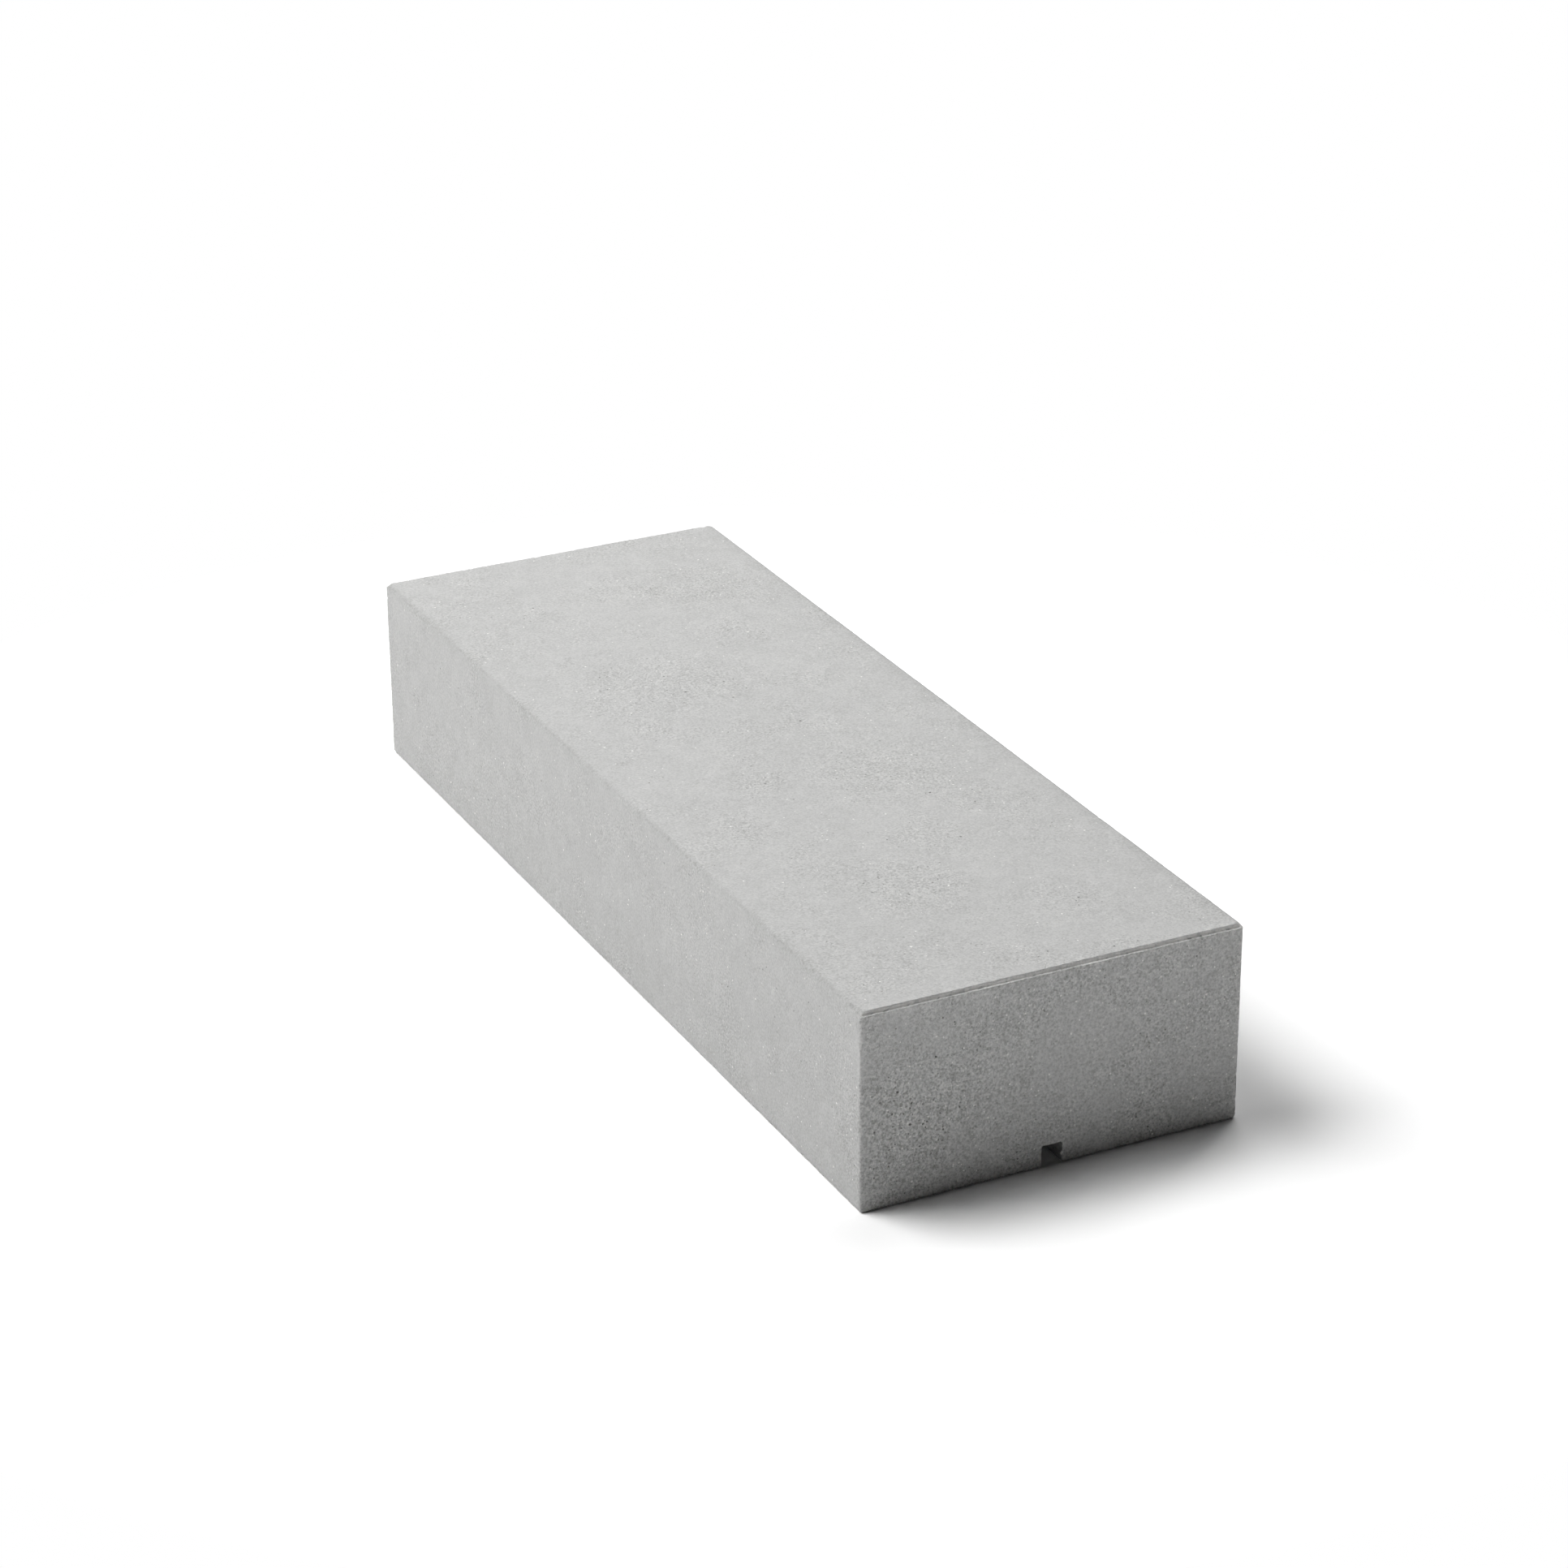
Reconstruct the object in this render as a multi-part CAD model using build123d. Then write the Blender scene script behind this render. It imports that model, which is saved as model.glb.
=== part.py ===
from build123d import *
import os

# Concrete coping stone: one dry-pressed block that caps the top of a wall.
# Millimetres. +X runs across the stone, +Y along it, +Z up.
# The origin is the middle of the bed, the underside that lies on the wall.

# Stone, over its outermost faces
stone_length = 575.0
stone_width = 200.0
stone_height = 102.5

# Bevel round the top face, left by the press head
bevel_run = 1.6
bevel_drop = 2.0

# Rounding of the upright edges and of the edges round the bed
edge_radius = 2.0

# Drip groove along the middle of the bed
groove_width = 11.4
groove_depth = 11.2
groove_root_radius = 0.8

# How far the groove's cutter runs past the ends and below the bed
cut_overrun = 5.0


def lower_block():
    """Block up to the foot of the bevel, with every edge below it rounded."""
    block_height = stone_height - bevel_drop
    block = Box(stone_width, stone_length, block_height,
                align=(Align.CENTER, Align.CENTER, Align.MIN))
    rounded_edges = block.edges().filter_by(Axis.Z) + block.faces().sort_by(Axis.Z)[0].edges()
    return fillet(rounded_edges, edge_radius)


def bevelled_top():
    """Thin cap that narrows from the full plan to the top face."""
    foot = Pos(0, 0, stone_height - bevel_drop) * RectangleRounded(
        stone_width, stone_length, edge_radius)
    face = Pos(0, 0, stone_height) * RectangleRounded(
        stone_width - 2 * bevel_run, stone_length - 2 * bevel_run, edge_radius)
    return loft([foot, face], ruled=True)


def groove_cutter():
    """Square channel with a slightly rounded root, open at both ends and below."""
    channel = Pos(0, 0, groove_depth) * Box(
        groove_width, stone_length + 2 * cut_overrun, groove_depth + cut_overrun,
        align=(Align.CENTER, Align.CENTER, Align.MAX))
    root = channel.faces().sort_by(Axis.Z)[-1]
    return fillet(root.edges().filter_by(Axis.Y), groove_root_radius)


coping_stone = lower_block() + bevelled_top() - groove_cutter()

os.makedirs("parts", exist_ok=True)
export_step(coping_stone, "parts/coping_stone.step")
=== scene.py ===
import math

import bmesh
import bpy
import numpy as np
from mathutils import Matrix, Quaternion, Vector
from mathutils.geometry import delaunay_2d_cdt
from mathutils.kdtree import KDTree


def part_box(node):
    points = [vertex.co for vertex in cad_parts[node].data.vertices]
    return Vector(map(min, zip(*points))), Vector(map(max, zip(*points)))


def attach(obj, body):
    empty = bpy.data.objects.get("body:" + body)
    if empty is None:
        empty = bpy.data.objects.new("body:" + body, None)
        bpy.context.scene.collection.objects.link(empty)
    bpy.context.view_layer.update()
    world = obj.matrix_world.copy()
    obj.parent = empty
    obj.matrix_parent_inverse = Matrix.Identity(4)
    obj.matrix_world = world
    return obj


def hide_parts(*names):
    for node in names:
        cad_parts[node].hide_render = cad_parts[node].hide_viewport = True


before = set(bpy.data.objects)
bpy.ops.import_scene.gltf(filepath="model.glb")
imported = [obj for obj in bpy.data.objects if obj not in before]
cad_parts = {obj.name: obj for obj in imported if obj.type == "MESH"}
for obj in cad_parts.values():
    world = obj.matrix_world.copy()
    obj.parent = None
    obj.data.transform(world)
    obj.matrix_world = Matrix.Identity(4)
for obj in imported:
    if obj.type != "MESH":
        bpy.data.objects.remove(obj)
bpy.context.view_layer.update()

mm = 0.001  # shapes are worked out in millimetres and written in metres
nodeLow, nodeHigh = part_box("coping_stone")


def linearColour(hexColour):
    channels = [int(hexColour[i:i + 2], 16) / 255 for i in (1, 3, 5)]
    return [c / 12.92 if c <= 0.04045 else ((c + 0.055) / 1.055) ** 2.4 for c in channels] + [1.0]


def perMetre(size):
    return 1 / (size * mm)  # texture scale that gives features about this many millimetres wide


def addNode(tree, kind, settings=None, inputs=None):
    # Each input is a plain value, a socket, or a node whose first output feeds it.
    node = tree.nodes.new(kind)
    for name, value in (settings or {}).items():
        setattr(node, name, value)
    for name, value in (inputs or {}).items():
        if isinstance(value, bpy.types.Node):
            value = next(output for output in value.outputs if output.enabled)
        if isinstance(value, bpy.types.NodeSocket):
            tree.links.new(value, node.inputs[name])
        else:
            node.inputs[name].default_value = value
    return node


def swell(places, size, seed, waves=28):
    # Smooth noise at 3-D places: waves about this many millimetres long, mean 0, deviation 1.
    rng = np.random.default_rng(seed)
    turns = rng.normal(size=(waves, 3))
    turns /= np.linalg.norm(turns, axis=1)[:, None]
    turns *= (2 * math.pi / (size * rng.uniform(0.75, 1.6, waves)))[:, None]
    shift = rng.uniform(0, 2 * math.pi, waves)
    return np.cos(places @ turns.T + shift).sum(axis=1) * math.sqrt(2 / waves)


def swells(places, rows, start=0.0):
    # Several swells on top of a start. Each row has its height, length and seed.
    return sum((height * swell(places, size, seed) for height, size, seed in rows), start)


def ridges(places, rows):
    # Swells whose troughs are turned up too, so that all of them stand out one way.
    return sum(height * np.abs(swell(places, size, seed)) for height, size, seed in rows)


def band(values, middle, width):
    # 1 at the middle, and fading to 0 on both sides of it.
    return np.exp(-((values - middle) / width) ** 2)


def treeOf(points):
    tree = KDTree(len(points))
    for i, point in enumerate(points):
        tree.insert(point, i)
    tree.balance()
    return tree


def storeOnPoints(mesh, name, values):
    mesh.attributes.new(name, "FLOAT", "POINT").data.foreach_set("value", values.astype(np.float32))


def setStops(ramp, colours):
    # Rows of place and colour along the ramp, the first two in place of the stops it starts with.
    stops = ramp.elements
    for stop, (place, hexColour) in zip(stops, colours):
        stop.position = place
        stop.color = linearColour(hexColour)
    for place, hexColour in colours[len(stops):]:
        stops.new(place).color = linearColour(hexColour)


# Stone block, in millimetres. Its length, width and height are the CAD's own.
stone = dict(
    length=(nodeHigh.y - nodeLow.y) / mm,
    width=(nodeHigh.x - nodeLow.x) / mm,
    height=(nodeHigh.z - nodeLow.z) / mm,
    uprightRadius=1.2,
    faceInset=0.20,  # walls lie this far inside the CAD's, so that sand grains can stand proud
    topInset=0.12,
    leastInset=0.01,  # everything stays this far inside the CAD's box
    rimSpacing=1.1,  # between the mesh's points along the rim, and along the foot
    bedSpacing=2.2,
    cornerSteps=4,
    seamPoints=18,
    columnSpacing=1.2,  # up and down the rounded upright edges
    outerSpacing=1.6,  # the outermost columns' spacing over the others'
    columnsBeside=(1.2, 2.7),
    besideRoom=3.6,  # other points on the walls keep this far from an upright edge
    columnJitter=0.25,
    fillerSpacing=6.5,
    fillerJitter=1.4,
    grainRoom=3.0,  # no sand grain lies this near an edge
    sandierEnds=0.30,  # the ends were pressed against a rougher plate, and show more of the sand
    sharpFrom=28,  # degrees between faces, from where their edge isn't smoothed
)

# Rows round the stone: the rim from the top face down to the wall, and the foot down to the bed.
# Each gives how far in from the wall it lies, how far below the top or above the bed, and how
# steeply the surface there looks up in degrees, first on the long sides and then on the ends,
# and last the radius of its corners. On the ends the rim is a small step, on the sides it is round.
rim = (
    (2.80, 0.00, 85, 1.88, 0.00, 65, 1.8),
    (2.05, 0.10, 75, 1.75, 0.12, 40, 1.8),
    (1.45, 0.35, 60, 1.62, 0.60, 17, 1.7),
    (0.95, 0.72, 50, 1.42, 1.30, 17, 1.6),
    (0.60, 1.12, 40, 1.18, 2.00, 45, 1.5),
    (0.33, 1.60, 28, 0.75, 2.12, 85, 1.4),
    (0.14, 2.10, 15, 0.16, 2.17, 60, 1.3),
    (0.03, 2.55, 6, 0.00, 2.42, 10, 1.2),
    (0.00, 2.95, 0, 0.00, 2.95, 0, 1.2),
)
foot = (
    (0.00, 2.00, 0, 0.00, 2.00, 0, 1.2),
    (0.15, 1.24, -22, 0.00, 1.20, 0, 1.2),
    (0.59, 0.59, -45, 0.00, 0.45, -10, 1.2),
    (1.24, 0.15, -68, 0.06, 0.12, -50, 1.2),
    (2.00, 0.00, -90, 0.25, 0.00, -90, 1.2),
)

# Coarse patches, where the mix was lean and the skin stayed open: x, y, z, radius, strength.
coarsePatches = (
    (-72, -288, 42, 24, 1.0),
    (-42, -288, 58, 20, 0.55),
    (-30, -288, 34, 16, 0.55),
    (-88, -288, 20, 20, 0.7),
    (36, -288, 92, 14, 0.6),
    (90, -288, 62, 16, 0.5),
    (52, -288, 16, 16, 0.6),
    (-20, -180, 103, 26, 0.5),
    (30, -60, 103, 34, 0.4),
    (-20, 90, 103, 36, 0.4),
    (60, 200, 103, 30, 0.4),
    (-100, -120, 60, 34, 0.22),
    (-100, 140, 40, 40, 0.18),
    (100, -90, 50, 36, 0.6),
    (100, 170, 60, 30, 0.6),
    (20, 288, 60, 30, 0.8),
    (-60, 288, 30, 24, 0.7),
)

# How open the skin is between the patches, and how ragged their outlines are. Rows of swells have
# a height, a length in millimetres and a seed.
drift = dict(
    everywhere=0.06,
    ends=0.22,
    swells=((0.12, 55, 14), (0.10, 17, 15)),
    ragged=5,  # millimetres
    raggedSize=22,
    raggedSeeds=(11, 12, 13),
)

pits = dict(
    seed=5,
    tight=0.006,  # pits for each square millimetre of tight skin, and of coarse patch
    coarse=0.084,
    smallest=0.22,  # radii
    largest=0.9,
    typicalTight=0.27,
    typicalCoarse=0.36,
    spread=0.30,  # of the radii's logarithm
    depth=(0.55, 1.0),  # over the radius
    tightDepth=0.45,  # how deep pits in tight skin are, over those in coarse patches
    stretch=0.28,  # how far from round they are, over the radius
    wobble=0.13,
    simple=0.42,  # a pit smaller than this has no points on its slope
    ground=1.25,  # pits stay this many radii and the gap apart
    gap=0.12,
    margin=1.3,  # pits stay this far and this many radii from the border of their field
    marginRadii=1.3,
    clearRadii=1.35,  # filler points stay this many radii and this far from a pit's middle
    clear=0.45,
)


class Outline:
    # The walls' rounded rectangle, anticlockwise from the middle of the +X side.

    def __init__(self, width, length, radius):
        self.radius = radius
        across = width / 2 - radius
        along = length / 2 - radius
        arc = math.pi * radius / 2
        # a side has its start and direction, a corner its centre and first angle
        self.parts = [
            ("side", (across + radius, 0), (0, 1), along),
            ("corner", (across, along), 0, arc),
            ("side", (across, along + radius), (-1, 0), 2 * across),
            ("corner", (-across, along), 90, arc),
            ("side", (-across - radius, along), (0, -1), 2 * along),
            ("corner", (-across, -along), 180, arc),
            ("side", (-across, -along - radius), (1, 0), 2 * across),
            ("corner", (across, -along), 270, arc),
            ("side", (across + radius, -along), (0, 1), along),
        ]
        self.length = sum(part[3] for part in self.parts)
        self.starts = np.cumsum([0] + [part[3] for part in self.parts])[:-1]
        self.corners = [(start, part[3]) for start, part in zip(self.starts, self.parts)
                        if part[0] == "corner"]

    def places(self, runs):
        # Points and outward directions at these distances round the outline.
        runs = np.mod(np.asarray(runs, float), self.length)
        points = np.zeros((len(runs), 2))
        outward = np.zeros((len(runs), 2))
        for start, (kind, origin, way, length) in zip(self.starts, self.parts):
            here = (runs >= start - 1e-9) & (runs <= start + length + 1e-9)
            along = (runs[here] - start)[:, None]
            if kind == "side":
                points[here] = np.array(origin) + along * np.array(way)
                outward[here] = (way[1], -way[0])
            else:
                angle = math.radians(way) + along[:, 0] / self.radius
                outward[here] = np.stack([np.cos(angle), np.sin(angle)], axis=1)
                points[here] = np.array(origin) + self.radius * outward[here]
        return points, outward

    def steps(self, spacing):
        # Even steps along each side and a fixed number round each corner.
        runs = []
        for start, (kind, _, _, length) in zip(self.starts, self.parts):
            count = stone["cornerSteps"] if kind == "corner" else max(2, round(length / spacing))
            runs.append(start + length * np.arange(count) / count)
        return np.concatenate(runs)


outline = Outline(stone["width"], stone["length"], stone["uprightRadius"])


def onEnds(places):
    # 1 on the end faces, and 0 from 2 mm in.
    return np.clip((np.abs(places[:, 1]) - stone["length"] / 2 + 2) / 2, 0, 1)


def openness(places):
    # Up to 1 in the middle of a coarse patch, and near 0 on the tight skin between patches.
    shift = np.stack([swell(places, drift["raggedSize"], seed) for seed in drift["raggedSeeds"]], axis=1)
    ragged = places + drift["ragged"] * shift
    total = np.zeros(len(places))
    for x, y, z, radius, strength in coarsePatches:
        far = np.linalg.norm(ragged - np.array((x, y, z)), axis=1) / radius
        total = np.maximum(total, strength * np.clip(1.5 - far, 0, 1))
    between = swells(places, drift["swells"], drift["everywhere"] + drift["ends"] * onEnds(places))
    return np.clip(np.maximum(total, between), 0, 1)


class Shell:
    # Points, the way each faces, how far each is sunk below the skin, and the faces between them.

    def __init__(self):
        self.places = []
        self.outward = []
        self.sunk = []
        self.faces = []
        self.count = 0

    def add(self, places, outward, sunk=None):
        first = self.count
        self.places.append(np.asarray(places, float))
        self.outward.append(np.asarray(outward, float))
        self.sunk.append(np.zeros(len(places)) if sunk is None else np.asarray(sunk, float))
        self.count += len(places)
        return first + np.arange(len(places))

    def joinRows(self, rows):
        # Quads between closed rows that run anticlockwise, the upper row first.
        for upper, lower in zip(rows, rows[1:]):
            self.faces.append(np.stack([lower, np.roll(lower, -1), np.roll(upper, -1), upper], axis=1))

    def welded(self):
        # Points that lie at one place become one.
        places = np.concatenate(self.places)
        cellsPerMillimetre = 100
        oddShift = 0.3719  # keeps round numbers off the border between two cells
        keys = np.floor(places * cellsPerMillimetre + oddShift).astype(np.int64)
        _, first, number = np.unique(keys, axis=0, return_index=True, return_inverse=True)
        number = number.ravel()
        faces = []
        for group in self.faces:
            for corners in number[group].tolist():
                kept = list(dict.fromkeys(corners))
                if len(kept) > 2:
                    faces.append(kept)
        outward = np.concatenate(self.outward)[first]
        outward /= np.linalg.norm(outward, axis=1)[:, None]
        return places[first], outward, np.concatenate(self.sunk)[first], faces


shell = Shell()


def scatterPits(width, height, toPlace, rng):
    # Pits on a flat field, spaced so that their rims stay apart: rows of u, v, radius, openness.
    tries = int(width * height * pits["coarse"] * 1.25)  # some more than wanted, as some won't fit
    u = rng.uniform(0, width, tries)
    v = rng.uniform(0, height, tries)
    coarse = openness(toPlace(u, v))
    chance = pits["tight"] + (pits["coarse"] - pits["tight"]) * coarse
    typical = pits["typicalTight"] + (pits["typicalCoarse"] - pits["typicalTight"]) * coarse
    radius = typical * np.exp(rng.normal(0, pits["spread"], tries))
    radius = np.clip(radius, pits["smallest"], pits["largest"])
    edge = np.minimum(np.minimum(u, v), np.minimum(width - u, height - v))
    inside = edge > pits["margin"] + pits["marginRadii"] * radius
    keep = (rng.uniform(0, pits["coarse"], tries) < chance) & inside
    wanted = np.stack([u, v, radius, coarse], axis=1)[keep]
    wanted = wanted[np.argsort(-wanted[:, 2])]
    ground = pits["ground"]
    cell = 2 * pits["largest"] * ground + pits["gap"]
    taken = {}
    found = []
    for u, v, radius, coarse in wanted.tolist():
        column = int(u / cell)
        row = int(v / cell)
        free = True
        for near in (taken.get((column + i, row + j), ()) for i in (-1, 0, 1) for j in (-1, 0, 1)):
            for otherU, otherV, otherRadius in near:
                if math.hypot(u - otherU, v - otherV) < ground * (radius + otherRadius) + pits["gap"]:
                    free = False
        if free:
            taken.setdefault((column, row), []).append((u, v, radius))
            found.append((u, v, radius, coarse))
    return np.array(found)


def pitPoints(found, rng):
    # Rim, slope and bottom points of the pits, and how far each point is sunk.
    points = []
    sunk = []
    shallow = pits["tightDepth"]
    depth = found[:, 2] * rng.uniform(*pits["depth"], len(found)) * (shallow + (1 - shallow) * found[:, 3])
    stretch = rng.uniform(0, pits["stretch"], len(found))
    lie = rng.uniform(0, math.pi, len(found))
    simple = found[:, 2] < pits["simple"]
    # which pits, and how many points their rims and slopes have
    for here, rimCount, slopeCount in ((simple, 6, 0), (~simple, 8, 5)):
        # how many points lie how far out, over the radius, and how far down, over the depth
        for count, reach, drop in ((rimCount, 1.0, 0.0), (slopeCount, 0.62, 0.75), (1, 0.1, 1.0)):
            if count == 0:
                continue
            number = int(here.sum())
            angle = rng.uniform(0, 2 * math.pi, (number, 1)) + 2 * math.pi * np.arange(count) / count
            wobble = rng.uniform(-pits["wobble"], pits["wobble"], (number, count))
            long = 1 + stretch[here, None] * np.cos(2 * (angle - lie[here, None])) + wobble
            far = found[here, 2:3] * reach * long
            points.append(np.stack([found[here, 0:1] + far * np.cos(angle),
                                    found[here, 1:2] + far * np.sin(angle)], axis=2).reshape(-1, 2))
            sunk.append((depth[here, None] * drop * rng.uniform(0.85, 1.15, (number, count))).ravel())
    return np.concatenate(points), np.concatenate(sunk)


def fieldPoints(width, height, toPlace, rng):
    # Points inside a flat field, with how far each is sunk: pits, and filler between them.
    found = scatterPits(width, height, toPlace, rng)
    points, sunk = pitPoints(found, rng)
    spacing = stone["fillerSpacing"]
    u, v = np.meshgrid(np.arange(spacing * 0.6, width - spacing * 0.4, spacing),
                       np.arange(spacing * 0.6, height - spacing * 0.4, spacing))
    filler = np.stack([u.ravel(), v.ravel()], axis=1)
    filler += rng.uniform(-stone["fillerJitter"], stone["fillerJitter"], filler.shape)
    tree = treeOf([(u, v, 0) for u, v in found[:, :2]])
    room = found[:, 2] * pits["clearRadii"] + pits["clear"]
    widest = pits["largest"] * pits["clearRadii"] + pits["clear"]
    clear = [all(far > room[i] for _, i, far in tree.find_range((u, v, 0), widest)) for u, v in filler]
    filler = filler[np.array(clear)]
    return np.concatenate([points, filler]), np.concatenate([sunk, np.zeros(len(filler))])


def meshField(border, points, sunk, toSurface, flip=False):
    # Triangles over a flat field inside its border, added to the shell.
    flat = np.concatenate([border, points])
    depth = np.concatenate([np.zeros(len(border)), sunk])
    loop = [(i, (i + 1) % len(border)) for i in range(len(border))]
    _, _, triangles, sources, _, _ = delaunay_2d_cdt([Vector(p) for p in flat], loop, [], 1, 1e-4, True)
    given = np.array([source[0] for source in sources])  # a Vector is too coarse to weld by
    places, outward = toSurface(flat[given, 0], flat[given, 1])
    number = shell.add(places, outward, depth[given])
    triangles = np.array(triangles)
    shell.faces.append(number[triangles[:, ::-1] if flip else triangles])


def rowPlaces(spacing, row):
    # One closed row round the stone, as the rim and the foot give it: its points seen from above,
    # their heights, and the way each faces.
    sideInset, sideHeight, sideTilt, endInset, endHeight, endTilt, corner = row
    points, outward = outline.places(outline.steps(spacing))
    half = np.array([stone["width"], stone["length"]]) / 2
    middle = half - outline.radius
    shrink = (half - (sideInset, endInset) - corner) / middle
    flat = np.clip(points, -middle, middle) * shrink + outward * corner
    end = outward[:, 1] ** 2
    height = sideHeight + (endHeight - sideHeight) * end
    tilt = np.radians(sideTilt + (endTilt - sideTilt) * end)
    return flat, height, np.column_stack([outward * np.cos(tilt)[:, None], np.sin(tilt)])


def addStrips(spacing, profile, top=None):
    # Closed rows round the stone, joined by quads. Their heights count down from the top, if given.
    rows = []
    for row in profile:
        flat, height, outward = rowPlaces(spacing, row)
        z = height if top is None else top - height
        rows.append(shell.add(np.column_stack([flat, z]), outward))
    shell.joinRows(rows)


def addWalls(rng):
    # The four walls and upright corners, unrolled into one long field.
    low = foot[0][1]
    high = stone["height"] - rim[-1][1]
    length = outline.length
    bottom = np.append(outline.steps(stone["bedSpacing"]), length)
    top = np.append(outline.steps(stone["rimSpacing"]), length)[::-1]
    seam = np.linspace(low, high, stone["seamPoints"])[1:-1]
    border = np.concatenate([
        np.column_stack([bottom, np.full(len(bottom), low)]),
        np.column_stack([np.full(len(seam), length), seam]),
        np.column_stack([top, np.full(len(top), high)]),
        np.column_stack([np.zeros(len(seam)), seam[::-1]]),
    ])

    def toPlace(run, v):
        return np.column_stack([outline.places(run)[0], v + low])

    def toSurface(run, z):
        points, outward = outline.places(run)
        return np.column_stack([points, z]), np.column_stack([outward, np.zeros(len(z))])

    points, sunk = fieldPoints(length, high - low, toPlace, rng)
    points[:, 1] += low
    keep = np.ones(len(points), bool)
    columns = []
    near, far = stone["columnsBeside"]
    room = stone["besideRoom"]
    jitter = stone["columnJitter"]
    for start, arc in outline.corners:
        keep &= (points[:, 0] < start - room) | (points[:, 0] > start + arc + room)
        offsets = list(arc * np.arange(stone["cornerSteps"] + 1) / stone["cornerSteps"])
        for i, offset in enumerate(offsets + [-near, arc + near, -far, arc + far]):
            outermost = i >= len(offsets) + 2
            spacing = stone["columnSpacing"] * (stone["outerSpacing"] if outermost else 1)
            # every second column starts half a step higher
            z = np.arange(low + spacing * (0.6 + 0.5 * (i % 2)), high - spacing * 0.6, spacing)
            z += rng.uniform(-jitter, jitter, len(z))
            columns.append(np.column_stack([np.full(len(z), start + offset), z]))
    columns = np.concatenate(columns)
    meshField(border, np.concatenate([points[keep], columns]),
              np.concatenate([sunk[keep], np.zeros(len(columns))]), toSurface)


def addFlat(row, z, up, spacing, rng):
    # The top face or the bed, inside the innermost row of its strips.
    border = rowPlaces(spacing, row)[0]
    low = np.array([row[0] - stone["width"] / 2, row[3] - stone["length"] / 2])

    def toPlace(u, v):
        return np.column_stack([u + low[0], v + low[1], np.full(len(u), z)])

    def toSurface(x, y):
        flat = np.full(len(x), z)
        return np.column_stack([x, y, flat]), np.column_stack([0 * flat, 0 * flat, 0 * flat + up])

    inside, sunk = fieldPoints(-2 * low[0], -2 * low[1], toPlace, rng)
    meshField(border, inside + low, sunk, toSurface, flip=up < 0)


print("stone: laying out rim, walls, top face and bed")
rng = np.random.default_rng(pits["seed"])
addStrips(stone["rimSpacing"], rim, stone["height"])
addStrips(stone["bedSpacing"], foot)
addWalls(rng)
addFlat(rim[0], stone["height"], 1.0, stone["rimSpacing"], rng)
addFlat(foot[-1], 0.0, -1.0, stone["bedSpacing"], rng)
places, outward, sunk, faces = shell.welded()

chips = dict(
    seed=8,
    topEvery=8.0,  # millimetres of edge for one chip
    bigEvery=300.0,
    ledgeEvery=6.0,
    lipEvery=5.0,
    uprightEvery=8.0,
    bedEvery=8.0,
    small=(0.35, 0.85),  # radii
    big=(1.0, 1.7),
    ledge=(0.3, 0.6),
    bite=(0.25, 0.5),  # depth over radius
    largerShare=0.1,  # of the uprights' chips, and how much larger these are
    larger=1.6,
    # painted shade in a chip, over its depth in millimetres
    chipShade=0.35,  # how much a chip counts as a hollow, over its depth in millimetres
)


def edgeChips(rng):
    # Chips along the edges: centre, radius and depth.
    found = []
    top = stone["height"]
    # whether on the ends, millimetres of edge for a chip, how far in, height, radii
    lines = (
        (True, chips["topEvery"], 1.8, top - 0.05, chips["small"]),
        (True, chips["bigEvery"], 1.8, top - 0.05, chips["big"]),
        (True, chips["ledgeEvery"], 1.3, top - 1.9, chips["ledge"]),
        (True, chips["lipEvery"], 0.15, top - 2.3, chips["ledge"]),
        (True, chips["bedEvery"], 0.3, 0.3, chips["small"]),
        (False, chips["topEvery"], 0.8, top - 0.8, chips["small"]),
        (False, chips["bigEvery"], 0.8, top - 0.8, chips["big"]),
        (False, chips["bedEvery"], 0.6, 0.6, chips["small"]),
    )
    for atEnds, every, inset, z, radii in lines:
        points, outward = outline.places(rng.uniform(0, outline.length, int(outline.length / every)))
        radius = rng.uniform(*radii, len(points))
        height = z + rng.uniform(-0.2, 0.2, len(points))
        here = (np.abs(outward[:, 1]) > 0.7) == atEnds
        found.append(np.column_stack([points - outward * inset, height, radius])[here])
    for start, arc in outline.corners:
        middle = outline.places([start + arc / 2])[0]
        count = int(top / chips["uprightEvery"])
        radius = rng.uniform(*chips["small"], count)
        radius *= np.where(rng.uniform(size=count) < chips["largerShare"], chips["larger"], 1.0)
        found.append(np.column_stack([middle + rng.uniform(-0.6, 0.6, (count, 2)),
                                      rng.uniform(3, top - 4, count), radius]))
    found = np.concatenate(found)
    return np.column_stack([found, found[:, 3] * rng.uniform(*chips["bite"], len(found))])


# The faces' relief. Rows of swells have a height and a length in millimetres, and a seed.
relief = dict(
    waves=((0.035, 60, 25), (0.022, 16, 26)),
    waveLimits=(-0.07, 0.2),
    edges=((0.05, 3.2, 23), (0.04, 1.7, 24)),
    edgeReach=3.0,
    arris=(0.1, 0.6),  # bands below the top: how far down they are, and how wide
    riser=(1.2, 0.8),
    lip=(2.3, 0.3),
    riserShare=0.8,  # how rough the riser and the bed's edges are, over the other edges
    bedShare=1.6,
    lipOut=0.15,  # how far the lip of the ends' step stands out, and the most it does
    lipMost=0.19,
    lipSwells=((0.04, 2.5, 21), (0.03, 9, 22)),
    # painted shade in the pits: the deeper a point is sunk, the darker
    fullHollowShade=0.3,  # a point sunk this far is as dark as a pit gets
)

print("stone: pressing in the chips and the waviness of the faces")
fromSide = stone["width"] / 2 - np.abs(places[:, 0])
fromEnd = stone["length"] / 2 - np.abs(places[:, 1])
fromWall = np.minimum(fromSide, fromEnd)
drop = stone["height"] - places[:, 2]
# painted shade in the pits, the darker the deeper a point is sunk
hollowShade = np.clip(sunk / relief["fullHollowShade"], 0, 1)

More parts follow.
